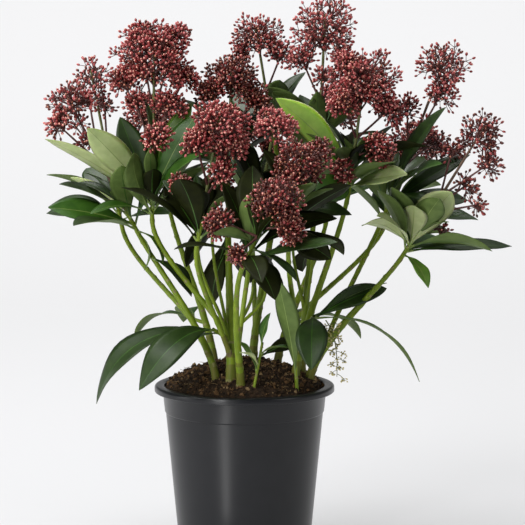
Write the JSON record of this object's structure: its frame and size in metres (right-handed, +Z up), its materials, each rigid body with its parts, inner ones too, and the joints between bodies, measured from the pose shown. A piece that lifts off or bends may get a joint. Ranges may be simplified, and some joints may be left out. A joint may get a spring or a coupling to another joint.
{
  "type": "potted skimmia",
  "caption": "Evergreen skimmia shrub in a tapered nursery pot: fanned green stems, whorls of leathery leaves and dense red bud heads.",
  "frame": {"origin": "centre of the pot's flat underside, on the pot's axis", "axes": "+Z up along the pot's axis, -Y towards the side that the picture shows, +X to the right as seen from there"},
  "size_m": [0.4959, 0.4367, 0.5856],
  "materials": {
    "pot_plastic": "satin charcoal nursery plastic",
    "compost": "loose moist dark brown compost",
    "stem_bark": "smooth green bark, brown and rough at the foot",
    "foliage": "leathery, glossy above and matt pale green below",
    "flower_buds": "waxy deep red buds on dark red stalks"
  },
  "bodies": {
    "root": {"compost": "compost", "flowers_back": "flower_buds", "flowers_back_far_right": "flower_buds", "flowers_back_left": "flower_buds", "flowers_back_right": "flower_buds", "flowers_centre": "flower_buds", "flowers_front": "flower_buds", "flowers_front_left": "flower_buds", "flowers_front_right": "flower_buds", "flowers_inner": "flower_buds", "flowers_left_low": "flower_buds", "flowers_left_rear": "flower_buds", "flowers_left_tall": "flower_buds", "flowers_rear_tall": "flower_buds", "flowers_right": "flower_buds", "flowers_right_rear": "flower_buds", "flowers_right_tall": "flower_buds", "flowers_tallest": "flower_buds", "leaves_back": "foliage", "leaves_back_far_right": "foliage", "leaves_back_left": "foliage", "leaves_back_right": "foliage", "leaves_centre": "foliage", "leaves_front": "foliage", "leaves_front_leaf": "foliage", "leaves_front_left": "foliage", "leaves_front_right": "foliage", "leaves_inner": "foliage", "leaves_left_low": "foliage", "leaves_left_rear": "foliage", "leaves_left_tall": "foliage", "leaves_low_back_left": "foliage", "leaves_low_back_right": "foliage", "leaves_low_left": "foliage", "leaves_low_right": "foliage", "leaves_rear_tall": "foliage", "leaves_right": "foliage", "leaves_right_rear": "foliage", "leaves_right_tall": "foliage", "leaves_sprig": "foliage", "leaves_tallest": "foliage", "pot": "pot_plastic", "stem_back": "stem_bark", "stem_back_far_right": "stem_bark", "stem_back_left": "stem_bark", "stem_back_right": "stem_bark", "stem_centre": "stem_bark", "stem_front": "stem_bark", "stem_front_left": "stem_bark", "stem_front_right": "stem_bark", "stem_inner": "stem_bark", "stem_left_low": "stem_bark", "stem_left_rear": "stem_bark", "stem_left_tall": "stem_bark", "stem_rear_tall": "stem_bark", "stem_right": "stem_bark", "stem_right_rear": "stem_bark", "stem_right_tall": "stem_bark", "stem_tallest": "stem_bark"}
  },
  "joints": []
}
